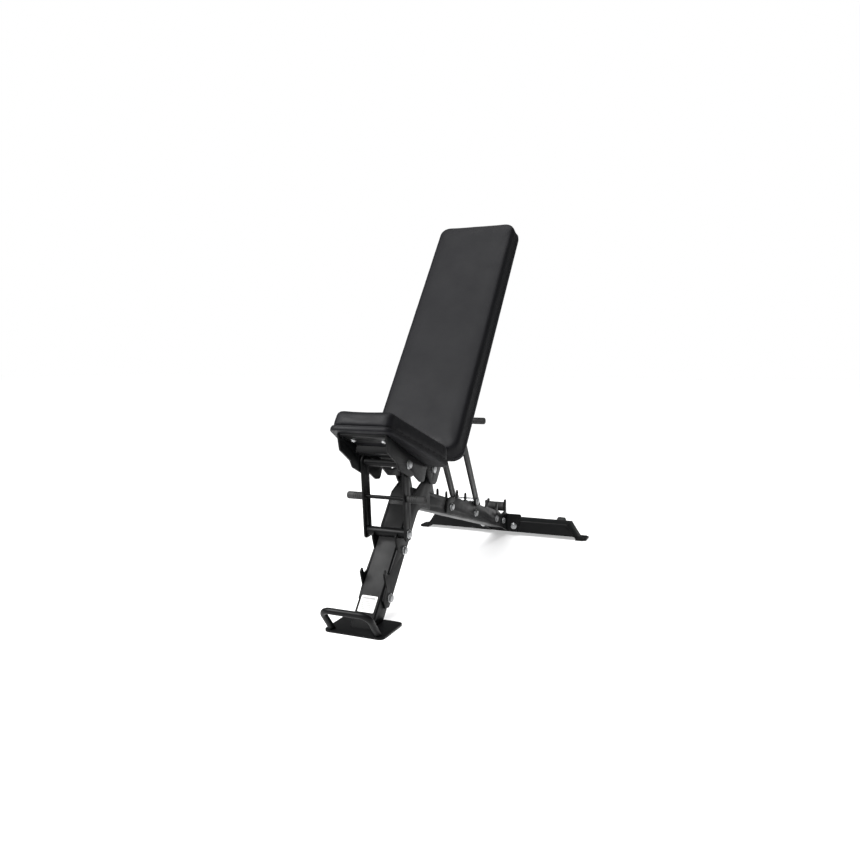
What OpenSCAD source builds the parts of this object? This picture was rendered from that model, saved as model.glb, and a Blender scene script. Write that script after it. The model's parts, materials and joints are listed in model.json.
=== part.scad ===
// Adjustable weight bench, drawn in the pose in which the back stands in its middle notch
// and the seat in its upper hook.  +X is the user's left as they sit, the seat end is at -Y.
// Side views use points [y, z], with y = 0 at the front edge of the foot plate.

/* [Back and seat] */
// Width of the back pad
back_pad_w = 270; // [230:5:320]
// Length of the back pad
back_pad_l = 886; // [730:2:1064]
// Thickness of the back pad's foam
back_pad_t = 49; // [35:1:60]
// Width of the seat pad at its rear end
seat_pad_rear_w = 262; // [220:2:300]
// Width of the seat pad at its front end
seat_pad_front_w = 156; // [144:2:220]
// Length of the seat pad
seat_pad_l = 282; // [260:2:330]
// Thickness of the seat pad's foam
seat_pad_t = 45; // [30:1:55]
// Thickness of the boards under both pads
board_t = 12; // [9:1:18]
// Backrest angle that each notch holds, from the front of the ladder to its rear end
back_angles = [88, 71, 52, 33, 0];
// Notch that the back stands in, counted from 0 at the front
back_notch = 2; // [0:1:4]
// Seat angle that each hook holds, from the top down
seat_angles = [23.7, 0];
// Hook that the seat stands in, counted from 0 at the top
seat_notch = 0; // [0, 1]

/* [Frame] */
// Height of the shared pivot of back and seat
pivot_z = 351; // [335:1:400]
// Distance of the pivot behind the front edge of the foot plate
pivot_y = 381; // [360:1:400]
// Width of leg tube and main beam
tube_w = 60; // [50:1:70]
// Wall of leg tube and main beam
tube_wall = 3; // [2:0.5:4]
// Depth of the leg tube, front to back
leg_d = 52; // [44:1:60]
// Angle of the leg above the floor
leg_angle = 49.8; // [48:0.1:53]
// Depth of the main beam
beam_h = 50; // [42:1:54]
// Fall of the main beam towards the rear
beam_angle = 15.5; // [14.5:0.1:16]
// Height of the main beam's underside below the pivot
beam_z = 236.6; // [230:0.1:250]
// Thickness of the plates on leg and beam
plate_t = 5; // [4:0.5:6]
// Thickness of the foot plate
foot_t = 6; // [5:0.5:10]
// Width of the foot plate
foot_w = 160; // [140:2:200]
// Depth of the foot plate, front to back
foot_d = 118; // [112:1:150]
// Height of the carry handle above the floor
handle_z = 68; // [55:1:90]
// Diameter of the carry handle's tube
handle_dia = 16; // [12:1:20]

/* [Rear end] */
// Front face of the rear cross beam, behind the front edge of the foot plate
rear_y = 1150; // [1130:1:1165]
// Width of the whole rear end, tip to tip
rear_w = 658; // [548:2:790]
// Depth of the rear cross beam, front to back
rear_d = 76; // [66:1:90]
// Top of the rear cross beam
rear_z = 57; // [50:1:64]
// Gap under the rear cross beam
rear_gap = 12; // [8:1:18]
// Diameter of the bolt-down holes
foot_hole = 11; // [9:0.5:14]
// Diameter of the transport wheels
wheel_dia = 56; // [44:1:58]
// Width of the transport wheels
wheel_w = 30; // [20:1:36]

/* [Struts] */
// Back strut, from its upper pivot to its cross pin
back_strut_l = 410; // [404:1:416]
// Width of the back strut's bars
back_bar_w = 35; // [28:1:38]
// Diameter of the back strut's cross pin
pin_dia = 20; // [16:1:22]
// Seat strut, from its upper pivot to its cross tube
seat_strut_l = 182; // [180:0.5:184]
// Width of the seat strut's bars
seat_bar_w = 38; // [30:1:38]
// Diameter of the seat strut's cross tube
cross_tube_dia = 25; // [20:1:26]
// Thickness of all strut bars and seat plates
bar_t = 5; // [4:0.5:5]
// Diameter of the strut handles' rods
rod_dia = 10; // [8:1:12]
// Diameter of the sleeves on the strut handles
grip_dia = 20; // [16:1:24]
// Diameter of the main pivot bolt
axle_dia = 16; // [12:1:18]
// Diameter of the struts' upper bolts
hinge_dia = 12; // [10:1:12]

/* [Clearances] */
// Radial play of bolts in turning parts
turn_play = 0.08; // [0.04:0.01:0.1]
// Radial play of bolts in holes of fixed parts
hole_play = 0.25; // [0.2:0.05:0.4]
// Radial play of pin and cross tube in their notches
notch_play = 0.4; // [0.3:0.05:0.6]
// Side play between turning plates
side_play = 0.2; // [0.1:0.05:0.4]

/* [Hidden] */
$fn = 48;

// Half widths of the layers of plates, from the tubes outwards
tube_x = tube_w / 2;
plate_x = tube_x + plate_t;
layer_gap = 2;
arm_x = plate_x + layer_gap;
rail_x = arm_x + bar_t + layer_gap;
rail_t = 6;
back_bar_x = rail_x - layer_gap - bar_t;
seat_bar_x = 55;
seat_plate_x = seat_bar_x + bar_t + layer_gap;

// Bolt sizes: shank, head width over corners, head height
bolt_dia = 12;
bolt_head = 20;
bolt_head_h = 7;
pivot_head = 22;
pivot_head_h = 6;
screw_dia = 8;
screw_head = 14;
screw_head_h = 4;

// Backrest: places along it from the pivot, and heights in front of the pivot
back_base = 8;
back_pad_start = 21;
rail_l = 640;
rail_depth = 44;
back_hinge = [259, -25];
back_rod_at = 80;
back_grip_end = 122;
strap_w = 60;
strap_places = [120, 560];
screw_x = 25;

// Seat: distances in front of the pivot, and heights above it
seat_base = -15.5;
seat_pad_start = 84;
seat_hinge = [202, -45];
strap_t = 5;
seat_front_at = [292, 344];
seat_rear_at = [96, 150];
middle_bar = [24, 13.5];
middle_bar_at = 226;
seat_screw_at = [308, 122];
seat_corner = 18;
board_lip = 3;
seat_screw_x = [42, 25];
seat_rod_at = 90;
seat_grip_end = 108;
tail_l = 18;

// Leg: places along its front face from the foot plate, and heights in front of that face
leg_foot = [39, foot_t];
leg_gap = 1;
cross_tube_n = cross_tube_dia / 2 + leg_gap;
seat_ladder_low = 72;
seat_bolt_n = 13;
label_size = [44, 43];
label_at = 41;
label_t = 0.8;

// Ladder: heights above the underside of the beam
pin_rise = pin_dia / 2 + 3;
prong_h = 29;
prong_w = 10;
shoulder_h = 7;
ladder_front_y = 517;
ladder_rear_y = 1062;

// Rear end
end_slope = 33;
foot_tab = 33;
hole_inset = 15;
end_plate_t = 5;
lug_t = 5;
lug_gap = 1;
wheel_x = 215;
wheel_z = wheel_dia / 2 + 4;
wheel_y = rear_y + rear_d + wheel_dia / 2 + 4;
wheel_axle_dia = 10;
hub_dia = 30;
flange_x = 90;
end_prong_z = 139;
end_prong_at = [1112, 1130];
stop_dia = 34;
stop_drop = 27;

// Foot and carry handle
handle_half = 62;
handle_bend = 22;
handle_lean = 50;
handle_foot_y = 14;

// Points and frames in the side view
function dir(a) = [cos(a), sin(a)];
function unit(v) = v / norm(v);
function at(p, a, s, n) = p + s * dir(a) + n * dir(a + 90);
function line_cross(p, a, q, b) = p + cross(q - p, dir(b)) / cross(dir(a), dir(b)) * dir(a);
pivot = [pivot_y, pivot_z];
beam_foot = [pivot_y, beam_z];
function beam_pt(s, n) = at(beam_foot, -beam_angle, s, n);
function leg_pt(s, n) = at(leg_foot, leg_angle, s, n);
function beam_s(y) = (y - pivot_y) / cos(beam_angle);
function beam_low(y) = beam_z - (y - pivot_y) * tan(beam_angle);
function beam_top(y) = beam_low(y) + beam_h / cos(beam_angle);

// Where a strut of length l from point u meets the line through p along angle a;
// way is 1 for the meeting point further along the line and -1 for the nearer one
function reach(u, l, p, a, way) =
    let (b = (p - u) * dir(a), c = (p - u) * (p - u) - l * l)
    -b + way * sqrt(b * b - c);

// Back strut's upper pivot and cross pin, for a backrest angle
pin_n = beam_h + pin_rise;
function back_hinge_pt(a) = at(pivot, a, back_hinge[0], back_hinge[1]);
function pin_s(a) = reach(back_hinge_pt(a), back_strut_l, beam_pt(0, pin_n), -beam_angle, 1);
function pin_pt(a) = beam_pt(pin_s(a), pin_n);
back_angle = back_angles[back_notch];
back_strut_top = back_hinge_pt(back_angle);
back_strut_dir = pin_pt(back_angle) - back_strut_top;
back_strut_angle = atan2(back_strut_dir[1], back_strut_dir[0]);

// Seat strut's upper pivot and cross tube, for a seat angle
function seat_pt(a, f, n) = pivot + f * dir(180 - a) + n * dir(90 - a);
function seat_hinge_pt(a) = seat_pt(a, seat_hinge[0], seat_hinge[1]);
function hook_s(a) = reach(seat_hinge_pt(a), seat_strut_l, leg_pt(0, cross_tube_n), leg_angle, -1);
seat_angle = seat_angles[seat_notch];
seat_strut_top = seat_hinge_pt(seat_angle);
seat_strut_dir = leg_pt(hook_s(seat_angle), cross_tube_n) - seat_strut_top;
seat_strut_angle = atan2(seat_strut_dir[1], seat_strut_dir[0]);

// The whole bench is moved so that the middle of its footprint is the origin
handle_front = handle_foot_y - (handle_z - foot_t) / tan(handle_lean);
rear_end = wheel_y + wheel_dia / 2;
front_end = handle_front - handle_dia / 2;
middle_y = (front_end + rear_end) / 2;

// A corner list [y, z, radius] made into a closed outline with rounded corners
function corner(a, b, c, r, steps = 6) =
    let (u = unit(a - b), v = unit(c - b), half = acos(u * v) / 2,
         m = b + unit(u + v) * r / sin(half), s = b + u * r / tan(half) - m,
         turn = (cross(u, v) > 0 ? -1 : 1) * (180 - 2 * half), first = atan2(s[1], s[0]))
    [for (i = [0:steps]) m + r * dir(first + turn * i / steps)];
function flat2(p) = [p[0], p[1]];
function rounded(list) =
    let (n = len(list))
    [for (i = [0:n - 1])
        let (p = list[i], a = flat2(list[(i + n - 1) % n]), c = flat2(list[(i + 1) % n]))
        each (len(p) > 2 && p[2] > 0 ? corner(a, flat2(p), c, p[2]) : [flat2(p)])];
function with_r(p, r) = [p[0], p[1], r];

module outline(list) polygon(rounded(list));

// A side-view shape given thickness t, from x outwards, on the left (+1) or right (-1)
module side(x, t, way = 1)
    translate([way > 0 ? x : -x - t, 0, 0]) rotate([90, 0, 90]) linear_extrude(t) children();

// A shape in a piece's own frame: y along the piece, z square to it
module bench() translate([0, -middle_y, 0]) children();
module framed(p, a) bench() translate([0, p[0], p[1]]) rotate([a, 0, 0]) children();
module in_leg() framed(leg_foot, leg_angle) children();
module in_beam() framed(beam_foot, -beam_angle) children();
module in_back() framed(pivot, back_angle) children();
module in_seat() framed(pivot, -seat_angle) children();
module in_back_strut() framed(back_strut_top, back_strut_angle) children();
module in_seat_strut() framed(seat_strut_top, seat_strut_angle) children();

// A round bar across the bench, from x0 to x1, at [y, z]
module across(p, d, x0, x1)
    translate([x0, p[0], p[1]]) rotate([0, 90, 0]) cylinder(d = d, h = x1 - x0);

// The same on both sides of the bench
module both() {
    children();
    mirror([1, 0, 0]) children();
}

module hex_head(p, x, d, h)
    translate([x, p[0], p[1]]) rotate([0, 90, 0]) cylinder(d = d, h = h, $fn = 6);

// A bolt across the bench with its head and nut outside x
module cross_bolt(p, x, d, head, head_h) {
    across(p, d, -x, x);
    hex_head(p, x, head, head_h);
    hex_head(p, -x - head_h, head, head_h);
}

// A flat plate with rounded corners, square to z
module slab(w, y0, y1, z0, t, r)
    translate([0, 0, z0]) linear_extrude(t)
        outline([[-w / 2, y0, r], [w / 2, y0, r], [w / 2, y1, r], [-w / 2, y1, r]]);

// ---- Foot, leg and main beam ----

module foot_plate() {
    color("dimgray") bench() slab(foot_w, 0, foot_d, 0, foot_t, 14);
}

module carry_handle() {
    rise = (handle_z - foot_t) / sin(handle_lean);
    color("dimgray") bench() translate([0, handle_foot_y, foot_t]) rotate([180 - handle_lean, 0, 0])
        difference() {
            union() {
                both() translate([handle_half, -handle_dia, 0]) rotate([-90, 0, 0])
                    cylinder(d = handle_dia, h = rise - handle_bend + handle_dia);
                both() translate([handle_half - handle_bend, rise - handle_bend, 0])
                    rotate_extrude(angle = 90) translate([handle_bend, 0]) circle(d = handle_dia);
                translate([-handle_half + handle_bend, rise, 0]) rotate([0, 90, 0])
                    cylinder(d = handle_dia, h = 2 * (handle_half - handle_bend));
            }
            rotate([handle_lean - 180, 0, 0]) translate([-foot_w, -foot_d, -foot_d])
                cube([2 * foot_w, 2 * foot_d, foot_d]);
        }
}

// Side outline of the leg, shrunk by w all round
function leg_outline(w) =
    let (cut = beam_pt(0, -w), low = foot_t + w)
    [line_cross([0, low], 0, leg_pt(0, -w), leg_angle),
     line_cross([0, low], 0, leg_pt(0, w - leg_d), leg_angle),
     line_cross(cut, -beam_angle, leg_pt(0, w - leg_d), leg_angle),
     line_cross(cut, -beam_angle, leg_pt(0, -w), leg_angle)];

// Side outline of the main beam, shrunk by w all round
function beam_outline(w) =
    let (low = beam_pt(0, w), top = beam_pt(0, beam_h - w), rear = [rear_y - w, 0])
    [line_cross(low, -beam_angle, leg_pt(0, -w), leg_angle),
     line_cross(low, -beam_angle, rear, 90),
     line_cross(top, -beam_angle, rear, 90),
     line_cross(top, -beam_angle, leg_pt(0, -w), leg_angle)];

function seat_ladder_bolts() =
    [for (s = [seat_ladder_low + 28, hook_s(seat_angles[0]) - 22]) leg_pt(s, -seat_bolt_n - leg_d / 2)];
function mid_beam(y) = [y, (beam_low(y) + beam_top(y)) / 2];
ladder_bolt_y = [561, 782, 1009];
function ladder_bolts() = [for (y = ladder_bolt_y) mid_beam(y)];
end_bolt = mid_beam(ladder_rear_y + 30);
function frame_bolt_places() = concat(seat_ladder_bolts(), ladder_bolts(), [end_bolt]);

module bolt_holes(places)
    for (p = places) across(p, bolt_dia + 2 * hole_play, -2 * plate_x, 2 * plate_x);

module front_leg() {
    color("dimgray") bench() difference() {
        side(-tube_x, tube_w) polygon(leg_outline(0));
        side(tube_wall - tube_x, tube_w - 2 * tube_wall) polygon(leg_outline(tube_wall));
        bolt_holes(seat_ladder_bolts());
    }
}

module leg_label() {
    color("white") in_leg() translate([-label_size[0] / 2, label_at, 0])
        cube([label_size[0], label_size[1], label_t]);
}

module main_beam() {
    color("dimgray") bench() difference() {
        side(-tube_x, tube_w) polygon(beam_outline(0));
        side(tube_wall - tube_x, tube_w - 2 * tube_wall) polygon(beam_outline(tube_wall));
        bolt_holes(concat(ladder_bolts(), [end_bolt]));
    }
}

// ---- Plates on leg and beam ----

tower_r = 20;
tower_edge = 2;
seam_y = pivot_y + 12;
function tower_outline() =
    let (corner_pt = line_cross(leg_pt(0, tower_edge - leg_d), leg_angle, beam_pt(0, tower_edge), -beam_angle),
         low = hook_s(seat_angles[0]) + 22)
    [with_r(leg_pt(low, -tower_edge), 6), with_r(leg_pt(low, tower_edge - leg_d), 6),
     with_r(corner_pt, 45), [seam_y, beam_low(seam_y) + tower_edge],
     [seam_y, beam_top(seam_y) - tower_edge], [pivot_y + 43, beam_top(pivot_y + 43) - tower_edge],
     [pivot_y + tower_r, pivot_z - tower_r, 12], [pivot_y + tower_r, pivot_z + tower_r, tower_r - 1],
     [pivot_y - tower_r, pivot_z + tower_r, tower_r - 1], [pivot_y - tower_r, pivot_z - tower_r, 12],
     with_r(line_cross(leg_pt(0, -tower_edge), leg_angle, [0, 300], 0), 10)];

module tower_plate(way) {
    color("dimgray") bench() difference() {
        side(tube_x, plate_t, way) outline(tower_outline());
        across(pivot, axle_dia + 2 * turn_play, -rail_x, rail_x);
    }
}

// Hook that carries the cross tube, as a list of points along the leg
hook_out = 26;
hook_t = 13;
function hook(s) =
    let (r = cross_tube_dia / 2 + notch_play, c = [s, cross_tube_n])
    concat([[s - r - hook_t - 14, -4]], [[s - r - hook_t, hook_out - 6]], [[s - r - hook_t + 6, hook_out + 3]],
           [[s - r + 5, hook_out + 1]],
           [for (i = [0:8]) c + r * dir(144 + i * 14)],
           [[s - 2, -1.5]]);
function seat_ladder_outline() =
    let (hooks = [for (i = [len(seat_angles) - 1:-1:0]) hook_s(seat_angles[i])], top = max(hooks) + 14)
    concat([[seat_ladder_low + 8, 2 - leg_d], [seat_ladder_low - 4, -leg_d / 2 - 6], [seat_ladder_low + 6, -8]],
           [for (s = hooks) each hook(s)],
           [[top, -6], [top, 2 - leg_d]]);

module seat_ladder(way) {
    color("dimgray") difference() {
        in_leg() side(tube_x, plate_t, way) polygon(seat_ladder_outline());
        bench() bolt_holes(seat_ladder_bolts());
    }
}

// One tooth of the back ladder: the seat of the pin, then the prong behind it
function tooth(s) =
    let (r = pin_dia / 2 + notch_play, c = [s, pin_n], up = dir(90 + beam_angle), back = dir(beam_angle),
         root = c + r * back, tip = (beam_h + prong_h - root[1]) / up[1])
    concat([for (i = [0:10]) c + r * dir(235 + i * (125 + beam_angle) / 10)],
           [root + (tip - 5) * up, root + tip * up + 4 * back],
           [root + tip * up + (prong_w - 4) * back, root + (tip - 5) * up + prong_w * back],
           [[root[0] + prong_w + 5, beam_h + shoulder_h]]);
function back_ladder_outline() =
    let (s0 = beam_s(ladder_front_y), s1 = beam_s(ladder_rear_y))
    concat([[s0 + 5, 3], [s0, 12], [s0, beam_h - 14], [s0 + 8, beam_h - 4], [s0 + 26, beam_h + 3]],
           [for (a = back_angles) each tooth(pin_s(a))],
           [[s1, beam_h - 4], [s1, 1]]);

module back_ladder(way) {
    color("dimgray") difference() {
        in_beam() side(tube_x, plate_t, way) polygon(back_ladder_outline());
        bench() bolt_holes(ladder_bolts());
    }
}

flange_y = rear_y - plate_t;
bracket_s = beam_s(ladder_rear_y) + 4;
flange_bolt = [60, 36];
module end_bracket(way) {
    color("dimgray") bench() difference() {
        union() {
            side(tube_x, plate_t, way)
                outline([beam_pt(bracket_s, 2), [rear_y, rear_gap + 3], [rear_y, rear_z + 24],
                         [end_prong_at[1] + 4, rear_z + 30, 4], [end_prong_at[1], end_prong_z, 6],
                         [end_prong_at[0], end_prong_z, 6], [end_prong_at[0], rear_z + 38, 6],
                         beam_pt(bracket_s, beam_h - 2)]);
            mirror([way > 0 ? 0 : 1, 0, 0]) translate([0, rear_y, 0]) rotate([90, 0, 0]) linear_extrude(plate_t)
                outline([[plate_x - 1, rear_gap + 3], [flange_x - 20, rear_gap + 3, 6],
                         [flange_x, rear_z + 24, 6], [plate_x - 1, rear_z + 24]]);
        }
        bolt_holes([end_bolt]);
        both() translate([flange_bolt[0], rear_y, flange_bolt[1]]) rotate([90, 0, 0])
            cylinder(d = bolt_dia + 2 * hole_play, h = 3 * plate_t, center = true);
    }
}

module end_stop() {
    middle = (end_prong_at[0] + end_prong_at[1]) / 2;
    color("black") bench() across([middle, end_prong_z - stop_drop], stop_dia, -tube_x, tube_x);
}

// ---- Rear end ----

// Front-view outline of the rear cross beam, shrunk by w
function rear_outline(w) =
    let (top = rear_w / 2 - foot_tab - end_slope - end_plate_t, slope = end_slope / (rear_z - foot_t))
    [[-top - slope * (rear_z - rear_gap) + 1.6 * w, rear_gap + w],
     [top + slope * (rear_z - rear_gap) - 1.6 * w, rear_gap + w],
     [top - 0.8 * w, rear_z - w], [-top + 0.8 * w, rear_z - w]];

module rear_crossbeam() {
    color("dimgray") bench() difference() {
        translate([0, rear_y + rear_d, 0]) rotate([90, 0, 0]) linear_extrude(rear_d) polygon(rear_outline(0));
        translate([0, rear_y + rear_d - tube_wall, 0]) rotate([90, 0, 0])
            linear_extrude(rear_d - 2 * tube_wall) polygon(rear_outline(tube_wall));
        both() translate([flange_bolt[0], rear_y, flange_bolt[1]]) rotate([90, 0, 0])
            cylinder(d = bolt_dia + 2 * hole_play, h = 3 * plate_t, center = true);
    }
}

hole_x = rear_w / 2 - hole_inset;
hole_y = rear_y + 0.6 * rear_d;
module rear_foot(way) {
    tip = rear_w / 2;
    knee = tip - foot_tab;
    shoulder = knee - end_slope;
    color("dimgray") bench() mirror([way > 0 ? 0 : 1, 0, 0]) difference() {
        translate([0, rear_y + rear_d, 0]) rotate([90, 0, 0]) linear_extrude(rear_d)
            polygon([[knee - end_plate_t, 0], [tip, 0], [tip, foot_t], [knee, foot_t],
                     [shoulder, rear_z], [shoulder - end_plate_t, rear_z], [knee - end_plate_t, foot_t]]);
        translate([hole_x, hole_y, -1]) cylinder(d = foot_hole, h = foot_t + 2);
        translate([tip, rear_y, -1]) rotate([0, 0, 45]) cube([16, 16, 4 * foot_t], center = true);
        translate([tip, rear_y + rear_d, -1]) rotate([0, 0, 45]) cube([16, 16, 4 * foot_t], center = true);
    }
}

lug_inner = wheel_w / 2 + lug_gap;
module wheel_lugs() {
    color("dimgray") bench() both() for (x = [wheel_x - lug_inner - lug_t, wheel_x + lug_inner])
        difference() {
            side(x, lug_t) outline([[rear_y + rear_d, rear_gap + 2], [wheel_y + 10, rear_gap + 2, 11],
                                    [wheel_y + 10, wheel_z + 12, 11], [rear_y + rear_d, rear_z - 4]]);
            across([wheel_y, wheel_z], wheel_axle_dia + 2 * hole_play, 0, 2 * wheel_x);
        }
}

module wheel_axles() {
    x0 = wheel_x - lug_inner - lug_t;
    x1 = wheel_x + lug_inner + lug_t;
    color("silver") bench() both() {
        across([wheel_y, wheel_z], wheel_axle_dia, x0, x1);
        hex_head([wheel_y, wheel_z], x0 - screw_head_h, screw_head + 2, screw_head_h);
        hex_head([wheel_y, wheel_z], x1, screw_head + 2, screw_head_h);
    }
}

module tyre(way) {
    c = wheel_dia / 2;
    color("black") bench() translate([way * wheel_x, wheel_y, wheel_z]) rotate([0, 90, 0])
        rotate_extrude($fn = 64) outline([[hub_dia / 2, -wheel_w / 2], [c, -wheel_w / 2, 5],
                                          [c, wheel_w / 2, 5], [hub_dia / 2, wheel_w / 2]]);
}

module hub(way) {
    color("gray") bench() difference() {
        across([wheel_y, wheel_z], hub_dia, way * wheel_x - wheel_w / 2, way * wheel_x + wheel_w / 2);
        across([wheel_y, wheel_z], wheel_axle_dia + 2 * turn_play, -2 * wheel_x, 2 * wheel_x);
    }
}

module frame_bolts() {
    color("silver") bench() {
        for (p = frame_bolt_places()) cross_bolt(p, plate_x, bolt_dia, bolt_head, bolt_head_h);
        both() translate([flange_bolt[0], flange_y, flange_bolt[1]]) rotate([90, 0, 0]) {
            cylinder(d = bolt_head, h = bolt_head_h, $fn = 6);
            translate([0, 0, -plate_t - tube_wall]) cylinder(d = bolt_dia, h = plate_t + tube_wall);
        }
    }
}

// ---- Shared pivot of back and seat ----

pivot_half = rail_x + rail_t + side_play;
module pivot_bolt() {
    color("silver") bench() cross_bolt(pivot, pivot_half, axle_dia, pivot_head, pivot_head_h);
}

module pivot_spacers() {
    color("silver") bench() both() for (x = [plate_x, arm_x + bar_t])
        difference() {
            across(pivot, 30, x + side_play, x + layer_gap - side_play);
            across(pivot, axle_dia + 2 * turn_play, 0, 2 * rail_x);
        }
}

// ---- Seat ----

seat_end = seat_pad_start + seat_pad_l;
// Plan outline of the seat pad, grown by w; y runs towards the rear
function seat_plan(w, r) =
    let (f = seat_pad_front_w / 2 + w, b = seat_pad_rear_w / 2 + w)
    [[-f, -seat_end - w, r], [f, -seat_end - w, r], [b, -seat_pad_start + w, r], [-b, -seat_pad_start + w, r]];

module seat_pad() {
    color("#2b2b2e") in_seat() translate([0, 0, seat_base + board_t])
        linear_extrude(seat_pad_t) outline(seat_plan(0, seat_corner));
}

module seat_screw_holes(d)
    for (i = [0, 1]) both() translate([seat_screw_x[i], -seat_screw_at[i], seat_base - 2 * strap_t])
        cylinder(d = d, h = 2 * strap_t + board_t - 3);

module seat_board() {
    color("black") in_seat() difference() {
        translate([0, 0, seat_base]) linear_extrude(board_t) outline(seat_plan(board_lip, seat_corner + board_lip));
        seat_screw_holes(screw_dia + 2 * hole_play);
    }
}

module seat_hinge_hole(play)
    across([-seat_hinge[0], seat_hinge[1]], hinge_dia + 2 * play, -2 * seat_plate_x, 2 * seat_plate_x);

// Stepped side plate of the seat, as distances in front of the pivot and heights
function seat_plate_outline() =
    let (top = seat_base, low = seat_hinge[1] - 28)
    [for (p = [[352, top, 3], [324, -52, 8], [290, -57, 6], [264, -61, 6], [246, low, 8], [180, low, 8],
               [158, -60, 8], [112, -66, 10], [88, -58, 12], [86, top, 3]]) [-p[0], p[1], p[2]]];

module seat_plate(way) {
    color("#39393c") in_seat() difference() {
        side(seat_plate_x, bar_t, way) outline(seat_plate_outline());
        seat_hinge_hole(hole_play);
    }
}

// Inner arm from the pivot to the middle bar
module seat_arm(way) {
    strap_low = seat_base - strap_t;
    arm_lobe = axle_dia / 2 + 12;
    color("#39393c") in_seat() difference() {
        side(arm_x, bar_t, way)
            outline([[-middle_bar_at, strap_low], [-seat_rear_at[0], strap_low, 8], [-74, -26, 8],
                     [-12, arm_lobe, 9], [arm_lobe, arm_lobe, arm_lobe - 1],
                     [arm_lobe, -arm_lobe, arm_lobe - 1], [-20, -28, 20], [-90, -48, 20],
                     [-160, strap_low - middle_bar[1], 8],
                     [-middle_bar_at, strap_low - middle_bar[1]]]);
        across([0, 0], axle_dia + 2 * turn_play, -2 * rail_x, 2 * rail_x);
    }
}

module seat_strap(from, to) {
    color("#39393c") in_seat() difference() {
        translate([-seat_plate_x, -to, seat_base - strap_t]) cube([2 * seat_plate_x, to - from, strap_t]);
        seat_screw_holes(screw_dia + 2 * hole_play);
    }
}

module seat_front_strap() seat_strap(seat_front_at[0], seat_front_at[1]);
module seat_rear_strap() seat_strap(seat_rear_at[0], seat_rear_at[1]);

module seat_middle_bar() {
    color("#39393c") in_seat()
        translate([-seat_plate_x, -middle_bar_at - middle_bar[0], seat_base - strap_t - middle_bar[1]])
            cube([2 * seat_plate_x, middle_bar[0], middle_bar[1] + strap_t]);
}

module seat_strut_bolt() {
    color("silver") in_seat()
        cross_bolt([-seat_hinge[0], seat_hinge[1]], seat_plate_x + bar_t, hinge_dia, bolt_head, bolt_head_h);
}

module seat_screws() {
    color("silver") in_seat() for (i = [0, 1]) both()
        translate([seat_screw_x[i], -seat_screw_at[i], seat_base - strap_t - screw_head_h]) {
            cylinder(d = screw_head, h = screw_head_h);
            cylinder(d = screw_dia, h = screw_head_h + strap_t + board_t - 4);
        }
}

// ---- Seat strut ----

module seat_strut_bar(way) {
    r = seat_bar_w / 2;
    foot = seat_strut_l + tail_l;
    color("#39393c") in_seat_strut() difference() {
        side(seat_bar_x, bar_t, way)
            outline([[-r, -r, r - 0.5], [foot, -r, 12], [foot, r, 12], [-r, r, r - 0.5]]);
        across([0, 0], hinge_dia + 2 * turn_play, -2 * seat_plate_x, 2 * seat_plate_x);
        across([seat_rod_at, 0], rod_dia, -2 * seat_plate_x, 2 * seat_plate_x);
        across([seat_strut_l, 0], screw_dia + 2, -2 * seat_plate_x, 2 * seat_plate_x);
    }
}

module seat_strut_spacer() {
    color("#39393c") in_seat_strut() difference() {
        across([0, 0], hinge_dia + 6, -seat_bar_x, seat_bar_x);
        across([0, 0], hinge_dia + 2 * turn_play, -2 * seat_bar_x, 2 * seat_bar_x);
    }
}

module seat_cross_tube() {
    color("#39393c") in_seat_strut() difference() {
        across([seat_strut_l, 0], cross_tube_dia, -seat_bar_x, seat_bar_x);
        across([seat_strut_l, 0], screw_dia + 2, -2 * seat_bar_x, 2 * seat_bar_x);
    }
}

module seat_strut_rod() {
    color("#39393c") in_seat_strut() across([seat_rod_at, 0], rod_dia, -seat_grip_end, seat_grip_end);
}

// Sleeve with a bore on each end of a handle rod
module grips(at_y, from, to) {
    both() difference() {
        across([at_y, 0], grip_dia, from, to + 3);
        across([at_y, 0], rod_dia, from - 1, to);
    }
}

module seat_strut_grips() {
    color("black") in_seat_strut() grips(seat_rod_at, seat_bar_x + bar_t + 1, seat_grip_end);
}

module seat_strut_screws() {
    color("silver") in_seat_strut()
        cross_bolt([seat_strut_l, 0], seat_bar_x + bar_t, screw_dia + 2, bolt_head, bolt_head_h);
}

// ---- Backrest ----

back_end = back_pad_start + back_pad_l;
module back_pad() {
    color("#2b2b2e") in_back() slab(back_pad_w, back_pad_start, back_end, back_base + board_t, back_pad_t, 34);
}

module back_screw_holes(d)
    for (y = strap_places) both() translate([screw_x, y, back_base - 2 * strap_t])
        cylinder(d = d, h = 2 * strap_t + board_t - 3);

module back_board() {
    color("black") in_back() difference() {
        slab(back_pad_w - 2, back_pad_start + 1, back_end - 1, back_base, board_t, 33);
        back_screw_holes(screw_dia + 2 * hole_play);
    }
}

// Rail from the pivot lobe, past the strut's hinge, to its upper end
module back_rail(way) {
    h = back_hinge;
    color("#4a4a4d") in_back() difference() {
        side(rail_x, rail_t, way)
            outline([[rail_l, back_base], [back_pad_start - 3, back_base], [back_pad_start - 3, 38, 8],
                     [-30, 36, 24], [-44, -8, 24], [-22, -rail_depth, 24], [40, -rail_depth, 20],
                     [180, h[1] - 8, 16], [h[0] - 26, h[1] - 24, 16], [h[0] + 26, h[1] - 24, 16],
                     [h[0] + 60, h[1], 20], [rail_l, -12, 8]]);
        across([0, 0], axle_dia + 2 * turn_play, -2 * rail_x, 2 * rail_x);
        across(h, hinge_dia + 2 * hole_play, -2 * rail_x, 2 * rail_x);
    }
}

module back_strap(y) {
    color("#4a4a4d") in_back() difference() {
        translate([-rail_x, y - strap_w / 2, back_base - strap_t]) cube([2 * rail_x, strap_w, strap_t]);
        back_screw_holes(screw_dia + 2 * hole_play);
    }
}

module back_strap_lower() back_strap(strap_places[0]);
module back_strap_upper() back_strap(strap_places[1]);

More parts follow.
